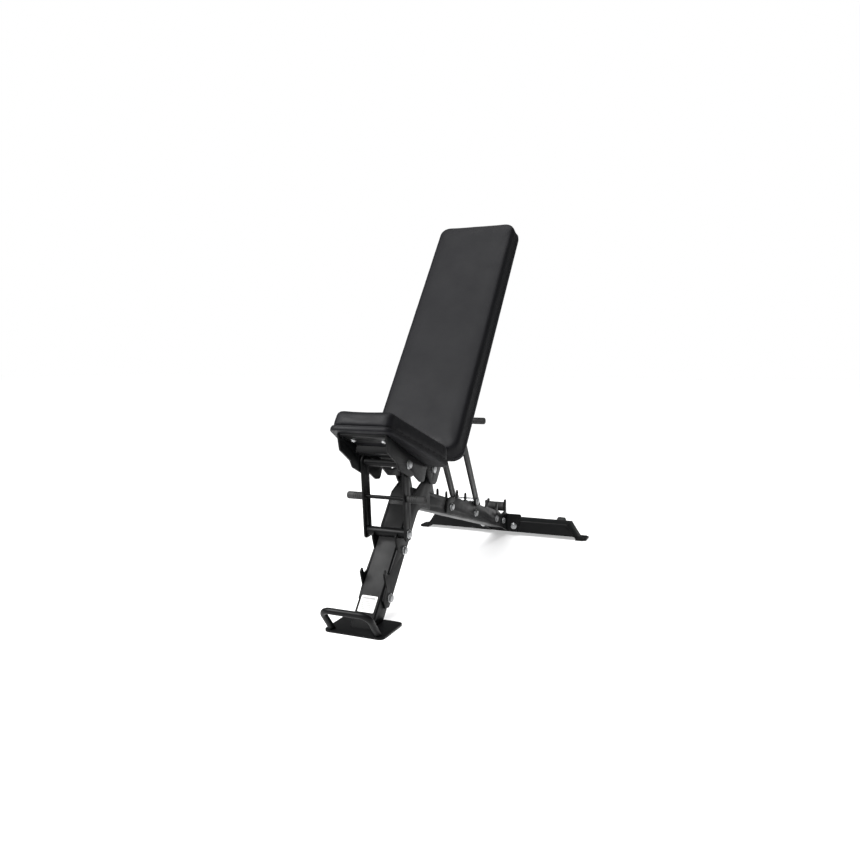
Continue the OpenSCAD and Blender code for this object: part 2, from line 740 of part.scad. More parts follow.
module back_strut_bolt() {
    color("silver") in_back() cross_bolt(back_hinge, rail_x + rail_t, hinge_dia, bolt_head, bolt_head_h);
}

module back_screws() {
    color("silver") in_back() for (y = strap_places) both()
        translate([screw_x, y, back_base - strap_t - screw_head_h]) {
            cylinder(d = screw_head, h = screw_head_h);
            cylinder(d = screw_dia, h = screw_head_h + strap_t + board_t - 4);
        }
}

// ---- Back strut ----

module back_strut_bar(way) {
    r = back_bar_w / 2;
    color("#4a4a4d") in_back_strut() difference() {
        side(back_bar_x, bar_t, way)
            outline([[-r, -r, r - 0.5], [back_strut_l + r, -r, r - 0.5],
                     [back_strut_l + r, r, r - 0.5], [-r, r, r - 0.5]]);
        across([0, 0], hinge_dia + 2 * turn_play, -2 * rail_x, 2 * rail_x);
        across([back_rod_at, 0], rod_dia, -2 * rail_x, 2 * rail_x);
        across([back_strut_l, 0], screw_dia + 2, -2 * rail_x, 2 * rail_x);
    }
}

module back_strut_spacer() {
    color("#4a4a4d") in_back_strut() difference() {
        across([0, 0], hinge_dia + 6, -back_bar_x, back_bar_x);
        across([0, 0], hinge_dia + 2 * turn_play, -2 * back_bar_x, 2 * back_bar_x);
    }
}

// Cross pin with the bolt that holds it between the bars
module back_pin() {
    color("silver") in_back_strut() {
        across([back_strut_l, 0], pin_dia, -back_bar_x, back_bar_x);
        cross_bolt([back_strut_l, 0], back_bar_x + bar_t, screw_dia + 2, bolt_head - 2, bolt_head_h - 1);
    }
}

module back_strut_rod() {
    color("#4a4a4d") in_back_strut() across([back_rod_at, 0], rod_dia, -back_grip_end, back_grip_end);
}

module back_strut_grips() {
    color("black") in_back_strut() grips(back_rod_at, rail_x + 1, back_grip_end);
}

foot_plate();
carry_handle();
front_leg();
leg_label();
main_beam();
tower_plate(1);  // tower_plate_left
tower_plate(-1);  // tower_plate_right
seat_ladder(1);  // seat_ladder_left
seat_ladder(-1);  // seat_ladder_right
back_ladder(1);  // back_ladder_left
back_ladder(-1);  // back_ladder_right
end_bracket(1);  // end_bracket_left
end_bracket(-1);  // end_bracket_right
end_stop();
rear_crossbeam();
rear_foot(1);  // rear_foot_left
rear_foot(-1);  // rear_foot_right
wheel_lugs();
wheel_axles();
frame_bolts();
pivot_bolt();
pivot_spacers();
seat_pad();
seat_board();
seat_plate(1);  // seat_plate_left
seat_plate(-1);  // seat_plate_right
seat_arm(1);  // seat_arm_left
seat_arm(-1);  // seat_arm_right
seat_front_strap();
seat_middle_bar();
seat_rear_strap();
seat_strut_bolt();
seat_screws();
seat_strut_bar(1);  // seat_strut_bar_left
seat_strut_bar(-1);  // seat_strut_bar_right
seat_strut_spacer();
seat_cross_tube();
seat_strut_rod();
seat_strut_grips();
seat_strut_screws();
back_pad();
back_board();
back_rail(1);  // back_rail_left
back_rail(-1);  // back_rail_right
back_strap_upper();
back_strap_lower();
back_strut_bolt();
back_screws();
back_strut_bar(1);  // back_strut_bar_left
back_strut_bar(-1);  // back_strut_bar_right
back_strut_spacer();
back_pin();
back_strut_rod();
back_strut_grips();
tyre(1);  // tyre_left
tyre(-1);  // tyre_right
hub(1);  // hub_left
hub(-1);  // hub_right
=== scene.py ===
import json
import math

import bmesh
import bpy
from bpy.props import FloatProperty, FloatVectorProperty, IntProperty, PointerProperty
from mathutils import Matrix, Vector


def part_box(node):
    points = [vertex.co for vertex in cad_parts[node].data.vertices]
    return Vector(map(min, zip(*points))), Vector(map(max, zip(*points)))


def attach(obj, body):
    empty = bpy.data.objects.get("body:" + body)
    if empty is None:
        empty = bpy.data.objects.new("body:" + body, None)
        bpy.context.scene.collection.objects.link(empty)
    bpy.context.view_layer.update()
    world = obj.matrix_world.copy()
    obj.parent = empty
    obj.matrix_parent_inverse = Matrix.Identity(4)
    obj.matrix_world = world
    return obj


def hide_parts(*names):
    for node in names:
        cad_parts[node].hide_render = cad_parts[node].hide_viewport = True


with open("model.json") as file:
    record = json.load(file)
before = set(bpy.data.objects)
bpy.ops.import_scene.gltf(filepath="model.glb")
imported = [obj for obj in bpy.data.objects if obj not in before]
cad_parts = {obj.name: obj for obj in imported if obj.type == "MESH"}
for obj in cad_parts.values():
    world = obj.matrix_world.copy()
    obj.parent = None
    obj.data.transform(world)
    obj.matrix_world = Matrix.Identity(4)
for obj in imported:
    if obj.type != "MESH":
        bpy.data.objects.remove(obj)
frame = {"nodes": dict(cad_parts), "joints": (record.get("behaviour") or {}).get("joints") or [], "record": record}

bl_info = {
    "name": "Adjustable weight bench",
    "version": (1, 0, 0),
    "blender": (4, 5, 0),
    "location": "View3D > Sidebar > Bench",
    "description": "Finishes the steel, pads, hardware and stage of an adjustable weight bench",
    "category": "Object",
}

NODES = frame["nodes"]
BODY = {n: body for body, nodes in frame["record"]["behaviour"]["bodies"].items() for n in nodes}
JOINTS = {joint["name"]: joint for joint in frame["joints"]}
PIVOT = Vector(JOINTS["backrest"]["pos_m"])
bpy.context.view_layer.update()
SIDES = ("left", "right")
SMOOTH = math.radians(35)
BEVEL_ANGLE = math.radians(40)
COPLANAR = math.radians(0.6)
WELD = 1e-5
FACING = 0.99  # a face normal's part along an axis, when it faces along it


# ---- Selecting and finishing ----


def deselect():
    if bpy.context.object and bpy.context.object.mode != "OBJECT":
        bpy.ops.object.mode_set(mode="OBJECT")
    bpy.ops.object.select_all(action="DESELECT")


def pick(piece):
    deselect()
    piece.select_set(True)
    bpy.context.view_layer.objects.active = piece


def edit(piece, mode="FACE"):
    pick(piece)
    bpy.ops.object.mode_set(mode="EDIT")
    bpy.ops.mesh.select_mode(type=mode)
    bpy.ops.mesh.select_all(action="DESELECT")


def choose(piece, kind, test):
    """Selects the faces, edges or verts that pass a test, in edit mode."""
    shape = bmesh.from_edit_mesh(piece.data)
    found = [item for item in getattr(shape, kind) if test(item)]
    for item in found:
        item.select_set(True)
    bmesh.update_edit_mesh(piece.data)
    return found


def leave_edit():
    bpy.ops.object.mode_set(mode="OBJECT")


def apply_modifier(piece, kind, **settings):
    pick(piece)
    modifier = piece.modifiers.new(kind.title(), kind)
    for key, value in settings.items():
        setattr(modifier, key, value)
    bpy.ops.object.modifier_apply(modifier=modifier.name)


def round_edges(piece, width, segments=2):
    apply_modifier(piece, "BEVEL", width=width, segments=segments, limit_method="ANGLE",
                   angle_limit=BEVEL_ANGLE, use_clamp_overlap=False)


def finish(piece, body, slot, material, *nodes):
    """Gives a finished piece its material and body, and hides the nodes it stands for. The slot argument is not
    used.
    """
    pick(piece)
    bpy.ops.object.shade_smooth_by_angle(angle=SMOOTH)
    piece.data.materials.clear()
    piece.data.materials.append(material)
    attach(piece, body)
    if nodes:
        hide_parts(*nodes)
    return piece


def copy_node(node, name):
    """A copy of a CAD node as one closed mesh with flat faces joined up."""
    source = NODES[node]
    hidden = source.hide_viewport
    source.hide_viewport = False
    pick(source)
    bpy.ops.object.duplicate(linked=False)
    source.hide_viewport = hidden
    piece = bpy.context.view_layer.objects.active
    piece.hide_viewport = piece.hide_render = False
    piece.name = piece.data.name = name
    piece.parent = None
    for key in list(piece.keys()):
        del piece[key]
    piece.data.materials.clear()
    if piece.data.has_custom_normals:
        bpy.ops.mesh.customdata_custom_splitnormals_clear()
    edit(piece)
    bpy.ops.mesh.select_all(action="SELECT")
    bpy.ops.mesh.remove_doubles(threshold=WELD)
    bpy.ops.mesh.dissolve_limited(angle_limit=COPLANAR)
    leave_edit()
    return piece


def copy_piece(master, name, matrix):
    pick(master)
    bpy.ops.object.duplicate(linked=False)
    piece = bpy.context.view_layer.objects.active
    piece.name = piece.data.name = name
    piece.data.transform(matrix)
    return piece


def join(pieces, name):
    deselect()
    for piece in pieces:
        piece.select_set(True)
    bpy.context.view_layer.objects.active = pieces[0]
    if len(pieces) > 1:
        bpy.ops.object.join()
    pieces[0].name = pieces[0].data.name = name
    return pieces[0]


def remove(piece):
    pick(piece)
    bpy.ops.object.delete()


def corners(points):
    return (Vector([min(p[i] for p in points) for i in range(3)]),
            Vector([max(p[i] for p in points) for i in range(3)]))


def islands(node, turn=Matrix.Identity(4)):
    """Lowest and highest corner of each separate solid in a node, seen in a turned frame."""
    piece = copy_node(node, "measured")
    edit(piece)
    bpy.ops.mesh.select_all(action="SELECT")
    bpy.ops.mesh.separate(type="LOOSE")
    leave_edit()
    parts = list(bpy.context.selected_objects)
    found = [corners([turn @ v.co for v in part.data.vertices]) for part in parts]
    for part in parts:
        remove(part)
    return sorted(found, key=lambda ends: tuple(round(v, 4) for v in ends[0]))


def pad_frame(node):
    """Turns the bench so that a pad lies flat with the shared pivot at the origin."""
    face = max(NODES[node].data.polygons, key=lambda p: p.area * abs(p.normal.z))
    normal = face.normal if face.normal.z > 0 else -face.normal
    return Matrix.Rotation(-math.atan2(-normal.y, normal.z), 4, "X") @ Matrix.Translation(-PIVOT)


# ---- Turned shapes ----


def lathe(name, profile, centre=(0, 0), steps=48):
    """A closed shape turned about an axis along X through centre, from points (x, radius)."""
    deselect()
    bpy.ops.mesh.primitive_plane_add(size=0.01)
    piece = bpy.context.object
    piece.name = piece.data.name = name
    edit(piece, "VERT")
    bpy.ops.mesh.select_all(action="SELECT")
    bpy.ops.mesh.merge(type="CENTER")
    x, r = profile[0]
    bpy.ops.transform.translate(value=(x, centre[0], centre[1] + r))
    for next_x, next_r in profile[1:]:
        bpy.ops.mesh.extrude_region_move(TRANSFORM_OT_translate={"value": (next_x - x, 0, next_r - r)})
        x, r = next_x, next_r
    bpy.ops.mesh.select_all(action="SELECT")
    bpy.ops.mesh.spin(steps=steps, angle=2 * math.pi, center=(0, centre[0], centre[1]), axis=(1, 0, 0))
    bpy.ops.mesh.select_all(action="SELECT")
    bpy.ops.mesh.remove_doubles(threshold=1e-6)
    bpy.ops.mesh.normals_make_consistent(inside=False)
    leave_edit()
    return piece


# ---- Materials ----


class Finish:
    """A material with a Principled shader and helpers for the nodes that feed it."""

    def __init__(self, name, colour, rough, metallic=0.0):
        self.material = bpy.data.materials.new(name)
        self.material.use_nodes = True
        self.tree = self.material.node_tree
        self.shader = self.tree.nodes["Principled BSDF"]
        self.shader.inputs["Base Color"].default_value = (*colour, 1)
        self.shader.inputs["Roughness"].default_value = rough
        self.shader.inputs["Metallic"].default_value = metallic
        self.place = self.add("ShaderNodeTexCoord").outputs["Object"]

    def add(self, kind, **settings):
        node = self.tree.nodes.new(kind)
        for key, value in settings.items():
            setattr(node, key, value)
        return node

    def link(self, source, target):
        self.tree.links.new(source, target)

    def noise(self, scale, detail, place=None):
        node = self.add("ShaderNodeTexNoise")
        self.link(place or self.place, node.inputs["Vector"])
        node.inputs["Scale"].default_value = scale
        node.inputs["Detail"].default_value = detail
        node.inputs["Roughness"].default_value = 0.55
        return node.outputs["Fac"]

    def cells(self, scale):
        node = self.add("ShaderNodeTexVoronoi", feature="DISTANCE_TO_EDGE")
        self.link(self.place, node.inputs["Vector"])
        node.inputs["Scale"].default_value = scale
        return node.outputs["Distance"]

    def stretched(self, scale):
        node = self.add("ShaderNodeMapping")
        self.link(self.place, node.inputs["Vector"])
        node.inputs["Scale"].default_value = scale
        return node.outputs["Vector"]

    def spread(self, value, low, high, start=0.0, end=1.0):
        node = self.add("ShaderNodeMapRange")
        self.link(value, node.inputs["Value"])
        for key, number in zip(("From Min", "From Max", "To Min", "To Max"), (start, end, low, high)):
            node.inputs[key].default_value = number
        return node.outputs["Result"]

    def colours(self, value, *stops):
        node = self.add("ShaderNodeValToRGB")
        ramp = node.color_ramp
        for element, (at, colour) in zip(ramp.elements, (stops[0], stops[-1])):
            element.position = at
            element.color = (*colour, 1)
        for at, colour in stops[1:-1]:
            ramp.elements.new(at).color = (*colour, 1)
        self.link(value, node.inputs["Fac"])
        self.link(node.outputs["Color"], self.shader.inputs["Base Color"])

    def roughness(self, value, low, high):
        self.link(self.spread(value, low, high, 0.3, 0.7), self.shader.inputs["Roughness"])

    def bump(self, height, strength, depth, below=None):
        node = self.add("ShaderNodeBump")
        node.inputs["Strength"].default_value = strength
        node.inputs["Distance"].default_value = depth
        self.link(height, node.inputs["Height"])
        if below:
            self.link(below, node.inputs["Normal"])
        self.link(node.outputs["Normal"], self.shader.inputs["Normal"])
        return node.outputs["Normal"]


def shade(colour, k):
    return tuple(c * k for c in colour)


def powder_coat(colour):
    """Semi-matte powder coat: orange peel, fine sparkle of texture, uneven sheen and a little dust."""
    f = Finish("Powder coat", colour, 0.45)
    f.colours(f.noise(9, 5), (0.3, shade(colour, 0.85)), (0.6, colour), (0.8, shade(colour, 1.35)))
    f.roughness(f.noise(26, 4), 0.34, 0.46)
    peel = f.bump(f.noise(520, 2), 0.22, 0.0004)
    f.bump(f.noise(2600, 2), 0.12, 0.0001, peel)
    f.shader.inputs["Specular IOR Level"].default_value = 0.095
    return f.material


def vinyl(colour):
    """Matte upholstery vinyl: fine pebbled grain with creases, soft sheen, faint handling marks."""
    f = Finish("Upholstery vinyl", colour, 0.5)
    f.colours(f.noise(7, 6), (0.3, shade(colour, 0.88)), (0.55, colour), (0.75, shade(colour, 1.14)))
    f.roughness(f.noise(14, 5), 0.42, 0.55)
    pebbles = f.bump(f.cells(620), 0.35, 0.0005)
    creases = f.bump(f.noise(230, 5), 0.18, 0.0004, pebbles)
    f.bump(f.noise(18, 3), 0.10, 0.004, creases)
    f.shader.inputs["Sheen Weight"].default_value = 0.015
    f.shader.inputs["Sheen Roughness"].default_value = 0.4
    f.shader.inputs["Specular IOR Level"].default_value = 0.085
    return f.material


def zinc(colour):
    """Bright zinc plating with fine turning lines and cloudy patches."""
    f = Finish("Zinc plating", colour, 0.3, 1.0)
    f.colours(f.noise(140, 5), (0.3, shade(colour, 0.72)), (0.6, colour), (0.8, shade(colour, 1.2)))
    f.roughness(f.noise(90, 4), 0.22, 0.42)
    f.bump(f.noise(60, 4, f.stretched((60, 6, 6))), 0.12, 0.0003)
    return f.material


def rubber(name, colour, grain=900):
    """Moulded rubber: dull, with a fine tooth and paler scuffs."""
    f = Finish(name, colour, 0.72)
    f.colours(f.noise(30, 6), (0.35, shade(colour, 0.8)), (0.6, colour), (0.85, shade(colour, 1.9)))
    f.roughness(f.noise(45, 4), 0.6, 0.82)
    f.bump(f.noise(grain, 3), 0.35, 0.0004)
    return f.material


def moulded_plastic(name, colour):
    """Injection-moulded plastic with a spark-eroded texture."""
    f = Finish(name, colour, 0.48)
    f.colours(f.noise(18, 4), (0.35, shade(colour, 0.88)), (0.75, shade(colour, 1.15)))
    f.roughness(f.noise(40, 3), 0.4, 0.56)
    f.bump(f.noise(1500, 2), 0.22, 0.0003)
    return f.material


def sticker(colour, ink, low, high):
    """A printed sticker with plain grey bars that say nothing, across its own face."""
    f = Finish("Sticker", colour, 0.38)
    middle = (low + high) / 2
    slope = math.atan2(high.z - low.z, high.y - low.y)
    length = math.hypot(high.z - low.z, high.y - low.y)
    node = f.add("ShaderNodeMapping", vector_type="TEXTURE")
    f.link(f.place, node.inputs["Vector"])
    node.inputs["Location"].default_value = middle
    node.inputs["Rotation"].default_value = (slope, 0, 0)
    split = f.add("ShaderNodeSeparateXYZ")
    f.link(node.outputs["Vector"], split.inputs["Vector"])

    def within(value, start, end):
        compare = f.add("ShaderNodeMath", operation="COMPARE")
        f.link(value, compare.inputs[0])
        compare.inputs[1].default_value = (start + end) / 2
        compare.inputs[2].default_value = (end - start) / 2
        return compare.outputs[0]

    def combine(operation, a, b):
        node = f.add("ShaderNodeMath", operation=operation)
        f.link(a, node.inputs[0])
        f.link(b, node.inputs[1])
        return node.outputs[0]

    def bar(start, end, reach):
        """A bar between two places along the sticker, from its left margin out to reach."""
        return combine("MULTIPLY", within(split.outputs["Y"], start, end),
                       within(split.outputs["X"], -margin, reach))

    half = (high.x - low.x) / 2
    margin = half * 0.8
    bars = bar(length * 0.28, length * 0.40, margin)
    for row in range(5):
        start = length * (0.12 - 0.11 * row)
        reach = margin if row % 2 else half * 0.62
        bars = combine("MAXIMUM", bars, bar(start, start + length * 0.045, reach))
    fade = combine("MULTIPLY", bars, f.spread(f.noise(400, 3), 0.8, 1.0))
    f.colours(fade, (0.0, colour), (1.0, ink))
    f.roughness(f.noise(60, 3), 0.34, 0.46)
    f.bump(f.noise(300, 2), 0.05, 0.0002)
    return f.material


def floor_paint(colour):
    """Pale studio floor with a trace of unevenness."""
    f = Finish("Studio floor", colour, 0.6)
    f.colours(f.noise(2.5, 4), (0.3, shade(colour, 0.985)), (0.7, shade(colour, 1.01)))
    f.roughness(f.noise(5, 3), 0.55, 0.68)
    f.bump(f.noise(300, 2), 0.03, 0.0005)
    f.shader.inputs["Specular IOR Level"].default_value = 0.25
    return f.material


MATERIALS = {}


def material(name):
    """The material of that name, made from the user's colours at its first use."""
    if name not in MATERIALS:
        c = bpy.context.scene.bench_colours
        low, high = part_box("leg_label")
        makers = {
            "powder": lambda: powder_coat(tuple(c.powder)),
            "vinyl": lambda: vinyl(tuple(c.vinyl)),
            "zinc": lambda: zinc(tuple(c.zinc)),
            "grip": lambda: rubber("Grip rubber", tuple(c.rubber)),
            "tyre": lambda: rubber("Tyre rubber", tuple(c.rubber), 500),
            "hub": lambda: moulded_plastic("Hub plastic", tuple(c.hub)),
            "sticker": lambda: sticker(tuple(c.sticker), tuple(c.ink), low, high),
            "floor": lambda: floor_paint(tuple(c.floor)),
        }
        MATERIALS[name] = makers[name]()
    return MATERIALS[name]


# ---- Settings ----


class BenchPads(bpy.types.PropertyGroup):
    """Shape of the upholstered pads"""

    shoulder: FloatProperty(
        name="Shoulder radius", description="Radius of a pad's upper edge",
        default=0.012, unit="LENGTH")
    draft: FloatProperty(
        name="Side slope", description="How far the sides lean in from base to top",
        default=0.0035, unit="LENGTH")
    inset: FloatProperty(
        name="Start inset", description="How much smaller the foam starts before it swells",
        default=0.0008, unit="LENGTH")
    grid: FloatProperty(
        name="Cloth grid", description="Size of the squares in the simulated cover",
        default=0.0055, unit="LENGTH")
    pressure: FloatProperty(
        name="Foam pressure", description="Pressure of the foam against the cover",
        default=4.0)
    swell: FloatProperty(
        name="Greatest swell", description="Furthest that the cover may move out",
        default=0.0028, unit="LENGTH")
    frames: IntProperty(name="Cloth frames", description="Steps of the cloth simulation", default=20)
    pucker: FloatProperty(
        name="Pucker", description="Depth of the soft puckers along the sides",
        default=0.0006, unit="LENGTH")
    cord: FloatProperty(
        name="Welt radius", description="Radius of the welt around a pad's base",
        default=0.0022, unit="LENGTH")


class BenchMetal(bpy.types.PropertyGroup):
    """Edges of the steel"""

    plate_edge: FloatProperty(
        name="Plate edge", description="Rounding of laser-cut plate edges",
        default=0.0006, unit="LENGTH")
    tube_edge: FloatProperty(
        name="Tube edge", description="Corner radius of the square tubes",
        default=0.004, unit="LENGTH")
    washer: FloatProperty(
        name="Washer thickness", description="Thickness of the washers under bolt heads",
        default=0.0016, unit="LENGTH")


class BenchColours(bpy.types.PropertyGroup):
    """Colours of the finishes"""

    powder: FloatVectorProperty(
        name="Powder coat", description="Colour of the coated steel",
        subtype="COLOR", default=(0.0036, 0.0037, 0.0039))
    vinyl: FloatVectorProperty(
        name="Vinyl", description="Colour of the pads",
        subtype="COLOR", default=(0.0048, 0.0048, 0.0058))
    zinc: FloatVectorProperty(
        name="Zinc", description="Colour of bolts and pins",
        subtype="COLOR", default=(0.38, 0.385, 0.39))
    rubber: FloatVectorProperty(
        name="Rubber", description="Colour of grips, stop and tyres",
        subtype="COLOR", default=(0.007, 0.007, 0.007))
    hub: FloatVectorProperty(
        name="Hub", description="Colour of the wheels' hubs",
        subtype="COLOR", default=(0.05, 0.05, 0.054))
    sticker: FloatVectorProperty(
        name="Sticker", description="Ground colour of the sticker",
        subtype="COLOR", default=(0.44, 0.44, 0.43))
    ink: FloatVectorProperty(
        name="Sticker bars", description="Colour of the sticker's plain bars",
        subtype="COLOR", default=(0.10, 0.10, 0.10))
    floor: FloatVectorProperty(
        name="Floor", description="Colour of the floor",
        subtype="COLOR", default=(0.93, 0.93, 0.93))


class BenchStage(bpy.types.PropertyGroup):
    """Camera and lights"""

    camera: FloatVectorProperty(
        name="Camera", description="Place of the camera",
        subtype="TRANSLATION", default=(0.8249, -2.1096, 0.642))
    target: FloatVectorProperty(
        name="Aim", description="Point that the camera looks at",
        subtype="TRANSLATION", default=(0.0, -0.1445, 0.4366))
    lens: FloatProperty(
        name="Lens", description="Focal length in millimetres on a 36 mm sensor",
        default=30.86)
    shift: FloatProperty(name="Rise", description="Vertical shift of the lens", default=0.0058)
    sky: FloatProperty(
        name="Room light", description="Strength of the even light of the room",
        default=0.16)
    key: FloatProperty(
        name="Key light", description="Strength of the broad light from the front",
        default=3.9)


# ---- Pads ----


PUCKER_BAND = 0.035  # how far in from a pad's edge its puckers reach
PUCKER_SIZE = 0.045
PUCKER_START = 0.12  # share of a pad's height below which it stays smooth


def foam(node, name, p):
    """A pad's cover: the CAD block with sloping sides and a round shoulder, swollen over its foam."""
    turn = pad_frame(node)
    piece = copy_node(node, name)
    piece.data.transform(turn)
    low, high = corners([v.co for v in piece.data.vertices])
    middle = (low + high) / 2
    size = high - low
    edit(piece)
    choose(piece, "faces", lambda f: f.normal.z > FACING)
    bpy.ops.transform.resize(value=(1 - 2 * p.draft / size.x, 1 - 2 * p.draft / size.y, 1),
                             center_override=middle)
    bpy.ops.mesh.select_all(action="DESELECT")
    choose(piece, "edges", lambda e: all(v.co.z > high.z - WELD for v in e.verts) and len(e.link_faces) == 2
           and abs(e.link_faces[0].normal.dot(e.link_faces[1].normal)) < 0.9)
    bpy.ops.mesh.bevel(offset=p.shoulder, segments=6, affect="EDGES", clamp_overlap=False)
    bpy.ops.mesh.select_all(action="SELECT")
    bpy.ops.transform.resize(value=(1 - 2 * p.inset / size.x, 1 - 2 * p.inset / size.y, 1 - p.inset / size.z),
                             center_override=(middle.x, middle.y, low.z))
    leave_edit()
    apply_modifier(piece, "REMESH", mode="VOXEL", voxel_size=p.grid)
    base = low.z + p.grid * 0.6
    held = piece.vertex_groups.new(name="held")
    held.add([v.index for v in piece.data.vertices if v.co.z < base], 1.0, "REPLACE")
    start = [v.co.copy() for v in piece.data.vertices]
    pick(piece)
    cloth = piece.modifiers.new("Cloth", "CLOTH")
    cloth.settings.vertex_group_mass = "held"
    cloth.settings.use_pressure = True
    cloth.settings.uniform_pressure_force = p.pressure
    cloth.settings.effector_weights.gravity = 0
    cloth.point_cache.frame_end = p.frames
    for step in range(1, p.frames + 1):
        bpy.context.scene.frame_set(step)
    bpy.ops.object.modifier_apply(modifier=cloth.name)
    for v, before in zip(piece.data.vertices, start):
        move = v.co - before
        if move.length > 0:
            v.co = before + move * (p.swell / (p.swell + move.length))
    bpy.context.scene.frame_set(1)
    piece.vertex_groups.clear()
    apply_modifier(piece, "SMOOTH", factor=0.5, iterations=4)
    apply_modifier(piece, "SUBSURF", levels=1, render_levels=1)
    sides = piece.vertex_groups.new(name="sides")
    for v in piece.data.vertices:
        edge = min(v.co.x - low.x, high.x - v.co.x, v.co.y - low.y, high.y - v.co.y)
        near = max(0.0, 1 - edge / PUCKER_BAND)
        lift = (v.co.z - low.z) / size.z
        if near > 0 and lift > PUCKER_START:
            sides.add([v.index], near * min(1.0, (lift - PUCKER_START) * 3), "REPLACE")
    clouds = bpy.data.textures.new(name + " pucker", "CLOUDS")
    clouds.noise_scale = PUCKER_SIZE
    apply_modifier(piece, "DISPLACE", texture=clouds, strength=p.pucker * 2, mid_level=0.5,
                   vertex_group="sides")
    piece.vertex_groups.clear()
    piece.data.transform(turn.inverted())
    return piece


def welt(node, name, radius, inward):
    """A thin corded seam around the base of a pad."""
    turn = pad_frame(node)
    piece = copy_node(node, name)
    piece.data.transform(turn)
    low, high = corners([v.co for v in piece.data.vertices])
    size = high - low
    edit(piece)
    choose(piece, "faces", lambda f: f.normal.z > -FACING)
    bpy.ops.mesh.delete(type="FACE")
    bpy.ops.mesh.select_all(action="SELECT")
    bpy.ops.mesh.delete(type="ONLY_FACE")
    bpy.ops.mesh.select_all(action="SELECT")
    bpy.ops.transform.resize(value=(1 - 2 * inward / size.x, 1 - 2 * inward / size.y, 1),
                             center_override=(low + high) / 2)
    leave_edit()
    bpy.ops.object.convert(target="CURVE")
    piece = bpy.context.object
    piece.data.bevel_depth = radius
    piece.data.bevel_resolution = 4
    for spline in piece.data.splines:
        spline.use_cyclic_u = True
    bpy.ops.object.convert(target="MESH")
    piece = bpy.context.object
    piece.name = piece.data.name = name
    piece.data.transform(turn.inverted())
    return piece


def upholster(context, node, inward):
    """The cover and the welt of one pad. The welt sits in by a share of its own radius."""
    pads = context.scene.bench_pads
    body = BODY[node]
    pad = foam(node, node + "_cover", pads)
    finish(pad, body, "pad_vinyl", material("vinyl"), node)
    seam = welt(node, node + "_welt", pads.cord, pads.cord * inward)
    finish(seam, body, "pad_vinyl", material("vinyl"))


class BENCH_OT_back_pad(bpy.types.Operator):
    """Upholster the back pad"""

    bl_idname = "bench.back_pad"
    bl_label = "Back pad"

    def execute(self, context):
        upholster(context, "back_pad", 0.7)
        return {"FINISHED"}


class BENCH_OT_seat_pad(bpy.types.Operator):
    """Upholster the seat pad"""

    bl_idname = "bench.seat_pad"
    bl_label = "Seat pad"

    def execute(self, context):
        upholster(context, "seat_pad", 0.2)
        return {"FINISHED"}


BOARD_EDGE = 0.0035


class BENCH_OT_boards(bpy.types.Operator):
    """Round the edges of the boards under both pads"""

    bl_idname = "bench.boards"
    bl_label = "Wrapped boards"

    def execute(self, context):
        for node in ("back_board", "seat_board"):
            board = copy_node(node, node + "_wrapped")
            round_edges(board, BOARD_EDGE, 3)
            finish(board, BODY[node], "board", material("vinyl"), node)
        return {"FINISHED"}


# ---- Steel ----


def long_edges(piece):
    """Selects the outer edges that run the length of a tube."""
    low, high = corners([v.co for v in piece.data.vertices])
    shape = bmesh.from_edit_mesh(piece.data)
    longest = max(e.calc_length() for e in shape.edges)
    axis = 1 if high.x - low.x > high.y - low.y else 0

    def outer(v):
        return min(abs(v.co[axis] - low[axis]), abs(v.co[axis] - high[axis])) < 1e-4

    choose(piece, "edges", lambda e: e.calc_length() > 0.6 * longest and all(outer(v) for v in e.verts))


def steel(context, nodes, tubes=()):
    """Gives plates their cut edges and tubes their rounded corners, all powder-coated."""
    metal = context.scene.bench_metal
    for node in nodes:
        piece = copy_node(node, node + "_steel")
        if node in tubes:
            edit(piece, "EDGE")
            long_edges(piece)
            bpy.ops.mesh.bevel(offset=metal.tube_edge, segments=5, affect="EDGES", clamp_overlap=False)
            leave_edit()
        round_edges(piece, metal.plate_edge)
        finish(piece, BODY[node], "frame_paint", material("powder"), node)


def pair(*names):
    return [f"{name}_{side}" for name in names for side in SIDES]


class BENCH_OT_frame_steel(bpy.types.Operator):
    """Finish the tubes and plates of the frame"""

    bl_idname = "bench.frame_steel"
    bl_label = "Frame"

    def execute(self, context):
        tubes = ["front_leg", "main_beam", "rear_crossbeam"]
        plates = pair("tower_plate", "seat_ladder", "back_ladder", "end_bracket", "rear_foot")
        steel(context, tubes + plates + ["foot_plate", "wheel_lugs"], tubes)
        return {"FINISHED"}


class BENCH_OT_seat_steel(bpy.types.Operator):
    """Finish the plates and straps of the seat and its strut"""

    bl_idname = "bench.seat_steel"
    bl_label = "Seat frame and strut"

    def execute(self, context):
        nodes = pair("seat_plate", "seat_arm", "seat_strut_bar")
        steel(context, nodes + ["seat_front_strap", "seat_middle_bar", "seat_rear_strap"])
        return {"FINISHED"}


class BENCH_OT_back_steel(bpy.types.Operator):
    """Finish the rails and straps of the backrest and its strut"""

    bl_idname = "bench.back_steel"
    bl_label = "Back frame and strut"

    def execute(self, context):
        steel(context, pair("back_rail", "back_strut_bar") + ["back_strap_upper", "back_strap_lower"])
        return {"FINISHED"}


class BENCH_OT_round_bars(bpy.types.Operator):
    """Coat the round bars and tubes, and plate the spacers, that keep their drawn shape"""

    bl_idname = "bench.round_bars"
    bl_label = "Round bars"

    def execute(self, context):
        coated = ("carry_handle", "seat_strut_spacer", "seat_cross_tube", "seat_strut_rod",
                  "back_strut_spacer", "back_strut_rod")
        for node in coated + ("pivot_spacers",):
            mesh = NODES[node].data
            mesh.materials.clear()
            mesh.materials.append(material("powder" if node in coated else "zinc"))
        return {"FINISHED"}


# ---- Hardware ----


